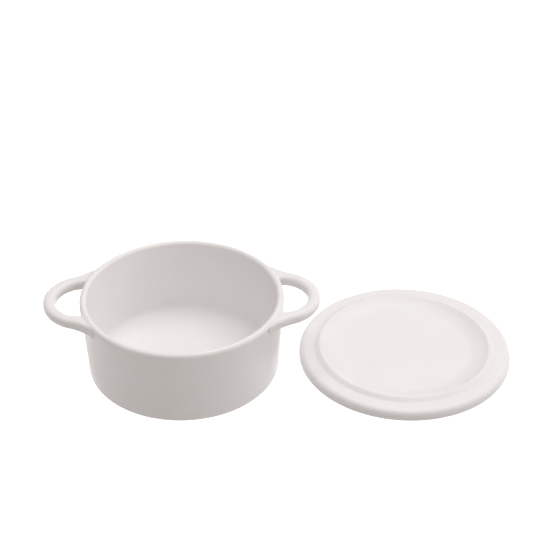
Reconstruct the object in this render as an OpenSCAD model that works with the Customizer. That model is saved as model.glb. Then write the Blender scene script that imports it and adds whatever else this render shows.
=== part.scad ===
// Small lidded porcelain casserole: a round pot with two loop handles, and a flat lid.
// The lid lies beside the pot with its underside up, so it shows its locating ring.
// Frame: origin at the middle of the foot on the table, +Z up, the lid on the +X side.

/* [Pot] */
// Outside diameter over the lip
rim_d = 130; // [120:1:136]
// Outside diameter of the wall, carried down to the table
base_d = 123; // [116:0.5:125]
// Height from the table to the top of the lip
pot_h = 55.4; // [50:0.2:60]
// Radius of the round lip, which is half the wall
lip_r = 2.2; // [1.8:0.1:2.6]
// Lean of the inside wall from upright, in degrees
inside_lean = 6.2; // [5:0.1:7]
// Height of the cooking floor above the table
floor_z = 4.8; // [4:0.1:6]
// Radius of the cove between the floor and the inside wall
cove_r = 5; // [3:0.5:10]
// Radius of the outside corner above the foot
corner_r = 2.6; // [1:0.1:3]

/* [Foot] */
// Height of the unglazed foot ring
foot_h = 1; // [0.8:0.1:1.6]
// Outside diameter of the foot ring
foot_d = 115; // [106:0.2:116]
// Width of the face that the foot ring stands on
foot_w = 4.4; // [3:0.1:6]

/* [Handles] */
// Thickness of both handles
handle_t = 7.6; // [6:0.1:9]
// Drop from the top of the lip to the top of the handles
handle_drop = 0.8; // [0.5:0.1:1.2]
// Distance from the pot's axis to the middle of a handle's outside arc
loop_x = 61.3; // [60:0.1:64]
// Radius of a handle's outside arc
loop_r = 27.2; // [25:0.1:28]
// Distance from the pot's axis to the middle of a finger hole
hole_x = 61.7; // [60:0.1:64]
// Radius of a finger hole
hole_r = 18.8; // [16:0.1:20]
// Radius of the hollow curve between a handle's outside arc and the lip
blend_r = 42; // [35:0.5:50]

/* [Lid] */
// Outside diameter of the lid
lid_d = 138.6; // [136:0.2:142]
// Place of the lid's axis on the table, from the pot's axis
lid_x = 144.5; // [142:0.1:160]
lid_y = 2.9; // [0:0.1:10]
// Height of the flange's seating face above the table
flange_z = 8.3; // [7.5:0.1:9]
// Thickness of the flange at its rounded edge
flange_t = 6.9; // [6:0.1:7.4]
// Radius of that edge above, on the seating side
edge_top_r = 4; // [2:0.1:4.5]
// Radius of that edge below
edge_low_r = 1.4; // [1:0.1:2]
// Height of the lid's shallow inside floor above the table
lid_floor_z = 6; // [5.4:0.1:7]
// Outside diameter of the ring that the lid rests on
rest_d = 92; // [80:1:100]
// Width of that ring's resting face
rest_w = 4; // [3:0.5:6]
// Depth of the recess inside the resting ring
recess_t = 1.2; // [0.8:0.1:1.6]

/* [Locating ring] */
// Diameter where the ring's outer slope meets the flange
ring_d = 119.2; // [116:0.2:120]
// Diameter of the ring's crest
crest_d = 110.8; // [106:0.1:112]
// Diameter where the ring's inner slope meets the lid's floor
toe_d = 92; // [84:1:96]
// Height of the crest above the flange's seating face
crest_h = 1.9; // [1:0.1:2.6]
// Depth of the groove that the ring is bedded in, below the lid's floor
bed_t = 1; // [0.6:0.1:1.2]

/* [Hidden] */
$fn = 96;

glaze = "#f1eeec";
bisque = "#e4dacb";

rim_r = rim_d / 2;
base_r = base_d / 2;
// Middle of the round lip, in the pot's half section: its crest is straight above
lip_z = pot_h - lip_r;
lip_x = rim_r - lip_r;
// Lean of the outside wall from upright, for a wall that touches the lip's round
outside_lean = atan((lip_x - base_r) / lip_z) + asin(lip_r / norm([lip_x - base_r, lip_z]));
lip_outer = [lip_x + lip_r * cos(outside_lean), lip_z - lip_r * sin(outside_lean)];
lip_inner = [lip_x - lip_r * cos(inside_lean), lip_z + lip_r * sin(inside_lean)];
// Height of a cutter past the face that it opens
over = 2;

// Middle of a hollow blend, which passes just clear of the lip and bites a little into the
// handle's outside arc, so that no two round faces only touch
blend_clear = 0.18;
blend_bite = 0.05;
blend_x = (pow(loop_x, 2) + pow(rim_r + blend_r + blend_clear, 2)
    - pow(loop_r + blend_r - blend_bite, 2)) / (2 * loop_x);
blend_y = sqrt(pow(rim_r + blend_r + blend_clear, 2) - pow(blend_x, 2));
// Each root stops this many degrees short of the place where blend and lip are closest, so that
// it has no feather edge
root_back = 2.7;
root_angle = atan2(blend_y, blend_x) - root_back;

lid_r = lid_d / 2;

// Radius at height z of a line that leans out by lean and passes through the point p
function line_r(p, lean, z) = p[0] + (z - p[1]) * tan(lean);

// Half section under a wall line, down to the height z0, with its corner rounded to r.
// The points in top close it above.
module leaning_section(p, lean, z0, r, top) {
    cx = line_r(p, lean, z0 + r) - r / cos(lean);
    polygon(concat([[0, z0], [cx, z0], [cx + r * cos(lean), z0 + r - r * sin(lean)]], top));
    translate([cx, z0 + r]) circle(r);
}

// The pot's outside, up to the points where the round lip takes over
module outside_section() {
    leaning_section(lip_outer, outside_lean, foot_h, corner_r,
        [lip_outer, lip_inner, [0, lip_inner[1]]]);
}

module cavity_section() {
    top_z = pot_h + over;
    leaning_section(lip_inner, inside_lean, floor_z, cove_r,
        [[line_r(lip_inner, inside_lean, top_z), top_z], [0, top_z]]);
}

// Wall, floor and round lip, seated on the foot ring and let in for the handles' roots
module bowl() {
    color(glaze) difference() {
        rotate_extrude() {
            difference() {
                outside_section();
                cavity_section();
            }
            translate([lip_x, lip_z]) circle(lip_r);
        }
        handle_body();
        rotate([0, 0, 180]) handle_body();
    }
}

// Unglazed ring that the pot stands on
module foot_ring() {
    color(bisque) rotate_extrude()
        translate([foot_d / 2 - foot_w, 0]) square([foot_w, foot_h]);
}

// Disc of the handle's thickness with a round edge
module round_disc(r) {
    rotate_extrude() {
        square([r - lip_r, handle_t]);
        translate([0, lip_r]) square([r, handle_t - 2 * lip_r]);
        for (z = [lip_r, handle_t - lip_r]) translate([r - lip_r, z]) circle(lip_r);
    }
}

// Cutter of radius r that flares at both faces, so that it leaves a round edge
module flared_cutter(r) {
    rotate_extrude() difference() {
        square([r + lip_r, handle_t]);
        translate([r, lip_r]) square([lip_r, handle_t - 2 * lip_r]);
        for (z = [lip_r, handle_t - lip_r]) translate([r + lip_r, z]) circle(lip_r);
    }
}

// The handle's outline without its finger hole: an outside arc blended into the lip
module handle_blank() {
    root = (rim_r + lip_r) * [cos(root_angle), sin(root_angle)];
    difference() {
        union() {
            translate([loop_x, 0, 0]) round_disc(loop_r);
            linear_extrude(handle_t) polygon([[0, 0], root, [blend_x, blend_y],
                [loop_x, 0], [blend_x, -blend_y], [root[0], -root[1]]]);
        }
        for (side = [-1, 1]) translate([blend_x, side * blend_y, 0]) flared_cutter(blend_r);
    }
}

// One loop handle on the +X side, just below the top of the lip, its roots let into the wall
module handle_body() {
    translate([0, 0, pot_h - handle_drop - handle_t]) difference() {
        handle_blank();
        translate([hole_x, 0, 0]) flared_cutter(hole_r);
        translate([0, 0, -over]) cylinder(handle_t + 2 * over, r = lip_x);
    }
}

module right_handle() {
    color(glaze) handle_body();
}

module left_handle() {
    color(glaze) rotate([0, 0, 180]) handle_body();
}

// Lid's disc, underside up: resting ring below, flange with a round edge, shallow floor
module lid_plate() {
    under_z = flange_z - flange_t;
    rest_r = rest_d / 2;
    low_x = lid_r - edge_low_r;
    low_z = under_z + edge_low_r;
    top_x = lid_r - edge_top_r;
    top_z = flange_z - edge_top_r;
    bed_z = lid_floor_z - bed_t;
    color(glaze) translate([lid_x, lid_y, 0]) rotate_extrude() difference() {
        union() {
            polygon([[0, recess_t], [rest_r - rest_w - recess_t, recess_t], [rest_r - rest_w, 0],
                [rest_r, 0], [low_x - edge_low_r, under_z], [low_x, under_z], [low_x, low_z],
                [lid_r, low_z], [lid_r, top_z], [top_x, top_z], [top_x, flange_z],
                [toe_d / 2, flange_z], [toe_d / 2, lid_floor_z], [0, lid_floor_z]]);
            translate([low_x, low_z]) circle(edge_low_r);
            translate([top_x, top_z]) circle(edge_top_r);
        }
        translate([toe_d / 2, bed_z]) square([(ring_d - toe_d) / 2, flange_z - bed_z + over]);
    }
}

// Low ring that centres the lid in the pot's mouth, bedded in the plate
module lid_locating_ring() {
    bed_z = lid_floor_z - bed_t;
    color(glaze) translate([lid_x, lid_y, 0]) rotate_extrude() polygon([
        [toe_d / 2, bed_z], [ring_d / 2, bed_z],
        [ring_d / 2, flange_z], [crest_d / 2, flange_z + crest_h], [toe_d / 2, lid_floor_z]]);
}

bowl();
foot_ring();
left_handle();
right_handle();
lid_plate();
lid_locating_ring();
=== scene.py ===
"""Looks for a small lidded porcelain casserole: a pot with two loop handles, and its flat lid."""
from itertools import product
from math import asin, atan, cos, hypot, pi, radians, sin, tan

import bmesh
import bpy
import numpy as np
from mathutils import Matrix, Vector


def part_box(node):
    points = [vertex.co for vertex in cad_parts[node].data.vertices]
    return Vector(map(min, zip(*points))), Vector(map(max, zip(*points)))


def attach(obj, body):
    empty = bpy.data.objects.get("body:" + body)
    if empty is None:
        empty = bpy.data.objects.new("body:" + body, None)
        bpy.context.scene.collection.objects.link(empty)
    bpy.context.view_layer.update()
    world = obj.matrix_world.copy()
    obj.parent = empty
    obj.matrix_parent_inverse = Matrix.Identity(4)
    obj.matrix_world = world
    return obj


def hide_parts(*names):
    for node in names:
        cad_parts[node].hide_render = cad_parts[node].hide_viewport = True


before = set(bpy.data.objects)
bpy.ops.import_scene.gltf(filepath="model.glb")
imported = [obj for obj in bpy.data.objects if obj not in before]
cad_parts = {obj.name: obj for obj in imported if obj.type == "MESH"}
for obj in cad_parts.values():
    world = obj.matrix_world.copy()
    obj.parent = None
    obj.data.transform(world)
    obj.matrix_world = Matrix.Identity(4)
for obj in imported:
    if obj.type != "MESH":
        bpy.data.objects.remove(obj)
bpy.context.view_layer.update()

# The shapes are worked out in millimetres, and become metres when a mesh is made.
MM = 0.001


def box_mm(node):
    """Lowest and highest corner of a CAD node, in millimetres."""
    return [np.array(corner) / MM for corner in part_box(node)]


# ---- Driving sizes, from the frame ----
bowl_low, bowl_high = box_mm("bowl")
RIM_R = bowl_high[0]
POT_H = bowl_high[2]
FOOT_H = bowl_low[2]
FOOT_R = box_mm("foot_ring")[1][0]
handle_low, handle_high = box_mm("right_handle")
HANDLE_TOP = handle_high[2]
HANDLE_UNDER = handle_low[2]
lid_low, lid_high = box_mm("lid_plate")
LID_CENTRE = (lid_low + lid_high) / 2 * (1, 1, 0)
LID_R = (lid_high[0] - lid_low[0]) / 2
FLANGE_Z = lid_high[2]
ring_low, ring_high = box_mm("lid_locating_ring")
RING_R = (ring_high[0] - ring_low[0]) / 2
BED_Z = ring_low[2]
CREST_Z = ring_high[2]

# ---- Pot section ----
LIP_R = 2.2
BASE_R = 61.5
FLOOR_Z = 4.8
COVE_R = 5.0
CORNER_R = 2.8
INSIDE_LEAN = radians(6.2)
LIP_X = RIM_R - LIP_R
LIP_Z = POT_H - LIP_R
OUTSIDE_LEAN = atan((LIP_X - BASE_R) / LIP_Z) + asin(LIP_R / hypot(LIP_X - BASE_R, LIP_Z))

# ---- Handle outline ----
LOOP_X = 61.3
LOOP_R = handle_high[0] - LOOP_X
HOLE_X = 61.7
HOLE_R = 18.8
HOLE_CORNER_R = 2.6
BLEND_R = 42.0
LOOP_EDGE_R = 3.2
# Distances from the wall where the edges begin to grow rounder, and over which they do
EDGE_GROWS_FROM = 1
EDGE_GROWS_OVER = 8
ROOT_FILLET_R = 3.0
ROOT_TOP_FILLET_R = POT_H - HANDLE_TOP
BLEND_X = (LOOP_X**2 + (RIM_R + BLEND_R) ** 2 - (LOOP_R + BLEND_R) ** 2) / (2 * LOOP_X)
BLEND_Y = np.sqrt((RIM_R + BLEND_R) ** 2 - BLEND_X**2)
# The handles part from the bowl on a cylinder just outside its wall
SEAM_R = RIM_R + 0.3

# ---- Foot ring ----
FOOT_W = 4.4
FOOT_EDGE_R = 0.3

# ---- Lid section ----
EDGE_TOP_R = 4.0
EDGE_LOW_R = 1.4
FLANGE_T = 6.9
UNDER_Z = FLANGE_Z - FLANGE_T
LID_FLOOR_Z = 6.0
TOE_R = 46.0
CREST_R = 55.4
SLOPE_FOOT_R = 48.2
SLOPE_HOLLOW_R = 22.0
REST_OUT_R = 46.0
REST_IN_R = 42.0
RECESS_Z = 1.2


# ---- Signed distances of the glazed pot, negative inside, all in millimetres ----
def round_max(a, b, r):
    """Intersection of two shapes, its edge rounded to radius r."""
    corner = np.hypot(np.maximum(a + r, 0), np.maximum(b + r, 0))
    return np.minimum(np.maximum(a, b), -r) + corner


def round_min(a, b, r):
    """Union of two shapes, with a fillet of radius r where they meet."""
    return -round_max(-a, -b, r)


def bowl_distance(x, y, z):
    """Leaning wall with a round lip, a floor with a cove, and a rounded corner at the foot."""
    out, up = np.hypot(x, y) - LIP_X, z - LIP_Z
    lip = np.hypot(out, up) - LIP_R
    co, so, ci, si = cos(OUTSIDE_LEAN), sin(OUTSIDE_LEAN), cos(INSIDE_LEAN), sin(INSIDE_LEAN)
    outside = np.where(out * so + up * co > 0, lip, out * co - up * so - LIP_R)
    inside = np.where(out * si + up * ci > 0, lip, up * si - out * ci - LIP_R)
    solid = round_max(outside, FOOT_H - z, CORNER_R)
    return np.maximum(solid, round_min(inside, z - FLOOR_Z, COVE_R))


def handle_outline(x, y):
    """Plan distance to the lip's circle with both loops, joined by hollow blends."""
    x, y = np.abs(x), np.abs(y)
    lip_side = BLEND_X * y - BLEND_Y * x > 0
    loop_side = (BLEND_X - LOOP_X) * y - BLEND_Y * (x - LOOP_X) < 0
    loop = np.hypot(x - LOOP_X, y) - LOOP_R
    blend = BLEND_R - np.hypot(x - BLEND_X, y - BLEND_Y)
    return np.where(lip_side, np.hypot(x, y) - RIM_R, np.where(loop_side, loop, blend))


def handle_distance(x, y, z):
    """Both loop handles, just below the lip, with a fillet under each root."""
    radius = np.maximum(np.hypot(x, y), 1e-6)
    wall_r = LIP_X + LIP_R / cos(OUTSIDE_LEAN) + (z - LIP_Z) * tan(OUTSIDE_LEAN)
    drawn_in = RIM_R - np.minimum(wall_r, RIM_R)
    grow = (radius + drawn_in) / radius
    px, py, off_wall = x * grow, y * grow, radius + drawn_in - RIM_R
    hole = np.hypot(np.abs(px) - HOLE_X, py) - HOLE_R
    hole = round_max(hole, -off_wall, HOLE_CORNER_R)
    plan = np.maximum(handle_outline(px, py), -hole)
    below = round_min(off_wall * cos(OUTSIDE_LEAN), HANDLE_UNDER - z, ROOT_FILLET_R)
    way_out = np.clip((off_wall - EDGE_GROWS_FROM) / EDGE_GROWS_OVER, 0, 1)
    edge_r = LIP_R + (LOOP_EDGE_R - LIP_R) * way_out**2 * (3 - 2 * way_out)
    slab = round_max(plan, np.maximum(z - HANDLE_TOP, below), edge_r)
    return np.maximum(slab, LIP_X - radius)


def pot_distance(p):
    """Bowl and handles as one body, with a small fillet where they meet."""
    x, y, z = p[..., 0], p[..., 1], p[..., 2]
    return round_min(bowl_distance(x, y, z), handle_distance(x, y, z), ROOT_TOP_FILLET_R)


def gradient(distance, p, reach=0.03):
    """Gradient of a distance at the points p, by central differences."""
    out = np.empty_like(p)
    for axis in range(3):
        step = np.zeros(3)
        step[axis] = reach
        out[:, axis] = (distance(p + step) - distance(p - step)) / (2 * reach)
    return out


def pull_to_surface(distance, p, rounds=3):
    """Moves points along the gradient until they lie on the surface."""
    for _ in range(rounds):
        g = gradient(distance, p)
        # The lower limit keeps steps short where the gradient fades, near an edge
        size = np.maximum((g * g).sum(1), 0.25)
        p = p - g * (distance(p) / size)[:, None]
    return p


# ---- Meshing ----
def surface_net(distance, low, high, step):
    """Quads around the surface: one vertex in each grid cell that it crosses."""
    axes = [np.arange(low[a], high[a] + step, step) for a in range(3)]
    grid = np.stack(np.meshgrid(*axes, indexing="ij"), -1)
    inside = distance(grid) < 0
    cells = tuple(n - 1 for n in inside.shape)
    filled = np.zeros(cells, np.int8)
    for dx, dy, dz in product((0, 1), repeat=3):
        filled += inside[dx : cells[0] + dx, dy : cells[1] + dy, dz : cells[2] + dz]
    crossed = (filled > 0) & (filled < 8)
    index = np.full(cells, -1, np.int64)
    index[crossed] = np.arange(crossed.sum())
    middles = [axes[a][where] + step / 2 for a, where in enumerate(np.nonzero(crossed))]
    points = np.stack(middles, -1)
    quads = []
    for axis in range(3):
        u, v = (axis + 1) % 3, (axis + 2) % 3
        ahead = np.roll(inside, -1, axis)
        change = inside != ahead
        edge = [slice(1, -1)] * 3
        edge[axis] = slice(0, -1)
        where = np.argwhere(change[tuple(edge)])
        where[:, [u, v]] += 1
        corners = []
        for du, dv in ((0, 0), (1, 0), (1, 1), (0, 1)):
            cell = where.copy()
            cell[:, u] -= du
            cell[:, v] -= dv
            corners.append(index[tuple(cell.T)])
        quad = np.stack(corners, -1)
        flip = ~inside[tuple(where.T)]
        quad[flip] = quad[flip][:, ::-1]
        quads.append(quad)
    return points, np.concatenate(quads)


def relax(points, quads, distance, rounds):
    """Evens out the quads: each vertex moves to the middle of its neighbours, then back."""
    for _ in range(rounds):
        total = np.zeros_like(points)
        count = np.zeros(len(points))
        for a, b in ((0, 1), (1, 2), (2, 3), (3, 0)):
            for start, end in ((a, b), (b, a)):
                np.add.at(total, quads[:, start], points[quads[:, end]])
                np.add.at(count, quads[:, start], 1)
        points = pull_to_surface(distance, points * 0.5 + total / count[:, None] * 0.5, 2)
    return points


def close_holes(mesh):
    """Closes each open loop with a flat fan that the neighbouring piece covers."""
    bm = bmesh.new()
    bm.from_mesh(mesh)
    open_edges = [e for e in bm.edges if e.is_boundary]
    bmesh.ops.holes_fill(bm, edges=open_edges, sides=0)
    bm.to_mesh(mesh)
    bm.free()


def add_piece(name, mesh, body, node, material):
    """Puts a mesh in the scene as the piece that stands for a CAD node."""
    piece = bpy.data.objects.new(name, mesh)
    bpy.context.scene.collection.objects.link(piece)
    mesh.materials.append(material)
    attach(piece, body)
    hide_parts(node)
    return piece


def part_of_pot(name, points, quads, normals):
    """A closed mesh of some of the pot's quads, shaded by the whole pot's normals."""
    used, local = np.unique(quads, return_inverse=True)
    mesh = bpy.data.meshes.new(name)
    mesh.from_pydata(points[used] * MM, [], local.reshape(quads.shape).tolist())
    close_holes(mesh)
    mesh.shade_smooth()
    mesh.normals_split_custom_set_from_vertices(normals[used])
    return mesh


def build_pot(glaze):
    """Bowl and handles, meshed as one surface and parted where the roots meet the wall."""
    step = 0.8
    margin = 2 * step
    low = np.array([-handle_high[0] - margin, -RIM_R - margin, FOOT_H - margin])
    high = np.array([handle_high[0] + margin, RIM_R + margin, POT_H + margin])
    points, quads = surface_net(pot_distance, low, high, step)
    points = relax(pull_to_surface(pot_distance, points), quads, pot_distance, 3)

    middle = points[quads].mean(1)
    side = np.where(np.hypot(middle[:, 0], middle[:, 1]) > SEAM_R, np.sign(middle[:, 0]), 0)
    on_seam = np.intersect1d(quads[side == 0], quads[side != 0])
    seam = points[on_seam]
    for _ in range(6):
        radius = np.hypot(seam[:, 0], seam[:, 1])
        seam[:, :2] *= (SEAM_R / radius)[:, None]
        seam = pull_to_surface(pot_distance, seam, 1)
    points[on_seam] = seam

    normals = gradient(pot_distance, points, 0.05)
    normals /= np.linalg.norm(normals, axis=1)[:, None]
    for name, node, which in (
        ("glazed_bowl", "bowl", 0),
        ("glazed_right_handle", "right_handle", 1),
        ("glazed_left_handle", "left_handle", -1),
    ):
        mesh = part_of_pot(name, points, quads[side == which], normals)
        add_piece(name, mesh, "pot", node, glaze)


def rounded_outline(corners, closed, arc_step=radians(7)):
    """Points of an outline whose corners (r, z, fillet) are rounded with arcs."""
    out = []
    count = len(corners)
    for i, (r, z, fillet) in enumerate(corners):
        here = np.array([r, z], float)
        end = not closed and i in (0, count - 1)
        if end or fillet == 0:
            out.append(here)
            continue
        back = np.array(corners[i - 1][:2], float) - here
        on = np.array(corners[(i + 1) % count][:2], float) - here
        back /= np.linalg.norm(back)
        on /= np.linalg.norm(on)
        half = np.arccos(np.clip(back @ on, -1, 1)) / 2
        centre = here + (back + on) / np.linalg.norm(back + on) * fillet / sin(half)
        first = here + back * fillet / tan(half) - centre
        turn = pi - 2 * half
        if back[0] * on[1] - back[1] * on[0] > 0:
            turn = -turn
        steps = max(2, int(np.ceil(abs(turn) / arc_step)))
        for k in range(steps + 1):
            c, s = cos(turn * k / steps), sin(turn * k / steps)
            out.append(centre + (first[0] * c - first[1] * s, first[0] * s + first[1] * c))
    return np.array(out)


def with_long_runs_split(outline, closed, longest=1.5):
    """The same outline with extra points along its long straight runs."""
    ends = np.roll(outline, -1, 0) if closed else outline[1:]
    out = []
    for a, b in zip(outline, ends):
        steps = max(1, int(np.ceil(np.linalg.norm(b - a) / longest)))
        out.extend(a + (b - a) * k / steps for k in range(steps))
    if not closed:
        out.append(outline[-1])
    return np.array(out)


def lathe(name, corners, centre=(0, 0, 0), closed=False, turns=288):
    """Mesh of an outline turned about the upright axis through centre."""
    outline = with_long_runs_split(rounded_outline(corners, closed), closed)
    angles = np.arange(turns) * 2 * pi / turns
    rows, verts = [], []
    for r, z in outline:
        start = len(verts)
        if r < 1e-6:
            verts.append((0, 0, z))
            rows.append([start] * turns)
        else:
            verts.extend((r * cos(a), r * sin(a), z) for a in angles)
            rows.append(list(range(start, start + turns)))
    pairs = list(zip(rows, rows[1:])) + ([(rows[-1], rows[0])] if closed else [])
    faces = []
    for row, above in pairs:
        for k in range(turns):
            n = (k + 1) % turns
            face = [row[k], row[n], above[n], above[k]]
            faces.append([v for i, v in enumerate(face) if v != face[i - 1]])
    mesh = bpy.data.meshes.new(name)
    mesh.from_pydata((np.array(verts) + centre) * MM, [], faces)
    mesh.shade_smooth()
    mesh.set_sharp_from_angle(angle=radians(35))
    return mesh


def build_foot(bisque):
    """Unglazed foot ring, its two standing edges worn round."""
    inner_r = FOOT_R - FOOT_W
    corners = [
        (inner_r, 0, FOOT_EDGE_R), (FOOT_R, 0, FOOT_EDGE_R),
        (FOOT_R, FOOT_H, 0), (inner_r, FOOT_H, 0)]
    mesh = lathe("bisque_foot_ring", corners, closed=True)
    add_piece("bisque_foot_ring", mesh, "pot", "foot_ring", bisque)


def build_lid(glaze):
    """Lid, underside up: a disc with a resting ring below, and the locating ring in its bed."""
    # Locating ring's top and the lid's floor in one line, which parts at the ring's inner edge
    top = rounded_outline([
        (RING_R, FLANGE_Z, 0), (RING_R - 0.7, FLANGE_Z, 1), (CREST_R + 0.6, CREST_Z, 1),
        (CREST_R - 0.4, CREST_Z, 1.2), (SLOPE_FOOT_R, LID_FLOOR_Z, SLOPE_HOLLOW_R),
        (0, LID_FLOOR_Z, 0)], False, arc_step=radians(2))
    parting_z = np.interp(TOE_R, top[::-1, 0], top[::-1, 1])
    parting = (TOE_R, parting_z, 0)
    ring_top = [(r, z, 0) for r, z in top if r > TOE_R]
    floor = [(r, z, 0) for r, z in top if r < TOE_R]
    disc = [
        (0, RECESS_Z, 0), (REST_IN_R - 1.8, RECESS_Z, 2.5), (REST_IN_R, 0, 0.6),
        (REST_OUT_R, 0, 3), (LID_R - 2 * EDGE_LOW_R, UNDER_Z, 12), (LID_R, UNDER_Z, EDGE_LOW_R),
        (LID_R, FLANGE_Z, EDGE_TOP_R), (RING_R, FLANGE_Z, 0), (RING_R, BED_Z, 0),
        (TOE_R, BED_Z, 0), parting, *floor]
    add_piece("glazed_lid_disc", lathe("glazed_lid_disc", disc, LID_CENTRE),
        "lid", "lid_plate", glaze)
    ring = [(TOE_R, BED_Z, 0), (RING_R, BED_Z, 0), *ring_top, parting]
    add_piece("glazed_locating_ring", lathe("glazed_locating_ring", ring, LID_CENTRE, closed=True),
        "lid", "lid_locating_ring", glaze)


# ---- Materials ----
def new_material(name):
    """A material, its nodes and links, its shader, and the object's coordinates."""
    material = bpy.data.materials.new(name)
    material.use_nodes = True
    nodes, links = material.node_tree.nodes, material.node_tree.links
    shader = nodes["Principled BSDF"]
    coords = nodes.new("ShaderNodeTexCoord").outputs["Object"]
    return material, nodes, links, shader, coords


def noise(nodes, links, coords, size, detail=2.0, roughness=0.5):
    """Noise texture whose features are about size metres across."""
    node = nodes.new("ShaderNodeTexNoise")
    node.inputs["Scale"].default_value = 1 / size
    node.inputs["Detail"].default_value = detail
    node.inputs["Roughness"].default_value = roughness
    links.new(coords, node.inputs["Vector"])
    return node.outputs["Fac"]


def spread(nodes, links, value, low, high):
    """Maps the middle of a noise's range onto low to high."""
    node = nodes.new("ShaderNodeMapRange")
    node.inputs["From Min"].default_value = 0.3
    node.inputs["From Max"].default_value = 0.7
    node.inputs["To Min"].default_value = low
    node.inputs["To Max"].default_value = high
    links.new(value, node.inputs["Value"])
    return node.outputs["Result"]


def two_tones(nodes, links, value, dark, light):
    """Colour between two tones, following a noise."""
    ramp = nodes.new("ShaderNodeValToRGB")
    ramp.color_ramp.elements[0].position = 0.35
    ramp.color_ramp.elements[0].color = (*dark, 1)
    ramp.color_ramp.elements[1].position = 0.65
    ramp.color_ramp.elements[1].color = (*light, 1)
    links.new(value, ramp.inputs["Fac"])
    return ramp.outputs["Color"]


def bumps(nodes, links, shader, layers):
    """Stacks bump layers of (height, depth in metres) on a shader's normal."""
    normal = None
    for height, depth in layers:
        bump = nodes.new("ShaderNodeBump")
        bump.inputs["Strength"].default_value = 1.0
        bump.inputs["Distance"].default_value = depth
        links.new(height, bump.inputs["Height"])
        if normal is not None:
            links.new(normal, bump.inputs["Normal"])
        normal = bump.outputs["Normal"]
    links.new(normal, shader.inputs["Normal"])


def glaze_material():
    """Clear glossy glaze over white porcelain: slow waves, a fine orange peel, faint tone."""
    material, nodes, links, shader, coords = new_material("white_glaze")
    tone = two_tones(nodes, links, noise(nodes, links, coords, 0.05, 3),
        (0.895, 0.878, 0.880), (0.915, 0.903, 0.905))
    links.new(tone, shader.inputs["Base Color"])
    gloss = spread(nodes, links, noise(nodes, links, coords, 0.02, 4), 0.3, 0.38)
    links.new(gloss, shader.inputs["Roughness"])
    shader.inputs["IOR"].default_value = 1.5
    shader.inputs["Specular IOR Level"].default_value = 0.28
    shader.inputs["Subsurface Weight"].default_value = 0.12
    shader.inputs["Subsurface Radius"].default_value = (1.0, 0.85, 0.7)
    shader.inputs["Subsurface Scale"].default_value = 0.002
    bumps(nodes, links, shader, (
        (noise(nodes, links, coords, 0.03, 1), 0.00016),
        (noise(nodes, links, coords, 0.0012, 2), 0.000004)))
    return material


def bisque_material():
    """Unglazed fired porcelain: matt, a little warmer, with a fine grain."""
    material, nodes, links, shader, coords = new_material("bisque")
    tone = two_tones(nodes, links, noise(nodes, links, coords, 0.004, 5, 0.65),
        (0.60, 0.53, 0.45), (0.74, 0.68, 0.60))
    links.new(tone, shader.inputs["Base Color"])
    gloss = spread(nodes, links, noise(nodes, links, coords, 0.001, 3), 0.7, 0.9)
    links.new(gloss, shader.inputs["Roughness"])
    bumps(nodes, links, shader, ((noise(nodes, links, coords, 0.0005, 3, 0.7), 0.00003),))
    return material


# ---- Stage, light and camera ----
def build_stage():
    """Pale glowing floor that throws no light on the object and takes no shadow."""
    material, nodes, links, shader, coords = new_material("pale_floor")
    tone = two_tones(nodes, links, noise(nodes, links, coords, 0.3), (0.88,) * 3, (0.9,) * 3)
    links.new(tone, shader.inputs["Base Color"])
    shader.inputs["Roughness"].default_value = 0.8
    shader.inputs["Specular IOR Level"].default_value = 0.1
    shader.inputs["Emission Color"].default_value = (1, 1, 1, 1)
    shader.inputs["Emission Strength"].default_value = 1.0
    bpy.ops.mesh.primitive_plane_add(size=12, location=(0, 0, 0))
    floor = bpy.context.object
    floor.name = "floor"
    floor.data.materials.append(material)
    floor.visible_diffuse = False


def add_softbox(name, target, azimuth, elevation, distance, size, power):
    """Square area light that faces target. Azimuth 0 is +X and 90 is +Y."""
    light = bpy.data.lights.new(name, "AREA")
    light.shape = "SQUARE"
    light.size = size
    light.energy = power
    obj = bpy.data.objects.new(name, light)
    a, e = radians(azimuth), radians(elevation)
    away = Vector((cos(a) * cos(e), sin(a) * cos(e), sin(e)))
    obj.location = target + away * distance
    obj.rotation_euler = away.to_track_quat("Z", "Y").to_euler()
    bpy.context.scene.collection.objects.link(obj)


def build_light(target):
    """Weak light all round, and two softboxes: one above and one low at the right."""
    world = bpy.data.worlds.new("studio")
    world.use_nodes = True
    sky = world.node_tree.nodes["Background"]
    sky.inputs["Color"].default_value = (1.0, 0.935, 0.9, 1)
    sky.inputs["Strength"].default_value = 0.46
    bpy.context.scene.world = world
    add_softbox("overhead", target, 42, 76, 1.3, 1.2, 10)
    add_softbox("side", target, -5, 20, 1.5, 0.7, 3)


def build_camera(target):
    """Camera at the reference's angle: 34 degrees down, on a long lens."""
    pitch, heading = radians(34.117), radians(2)
    distance = 1.1351
    camera = bpy.data.cameras.new("camera")
    camera.sensor_width = 36
    camera.lens = 104.73
    obj = bpy.data.objects.new("camera", camera)
    back = Vector((-sin(heading) * cos(pitch), -cos(heading) * cos(pitch), sin(pitch)))
    obj.location = target + back * distance
    obj.rotation_euler = (pi / 2 - pitch, 0, -heading)
    bpy.context.scene.collection.objects.link(obj)
    bpy.context.scene.camera = obj


glaze = glaze_material()
build_pot(glaze)
build_foot(bisque_material())
build_lid(glaze)
build_stage()
light_target = Vector((0.07, 0, 0.02))
# A place on the table, in rim radii, behind pot and lid: it sets them in the picture's lower half
view_target = Vector((0.96691, 1.56506, 0)) * RIM_R * MM
build_light(light_target)
build_camera(view_target)
bpy.context.scene.view_settings.view_transform = "Standard"
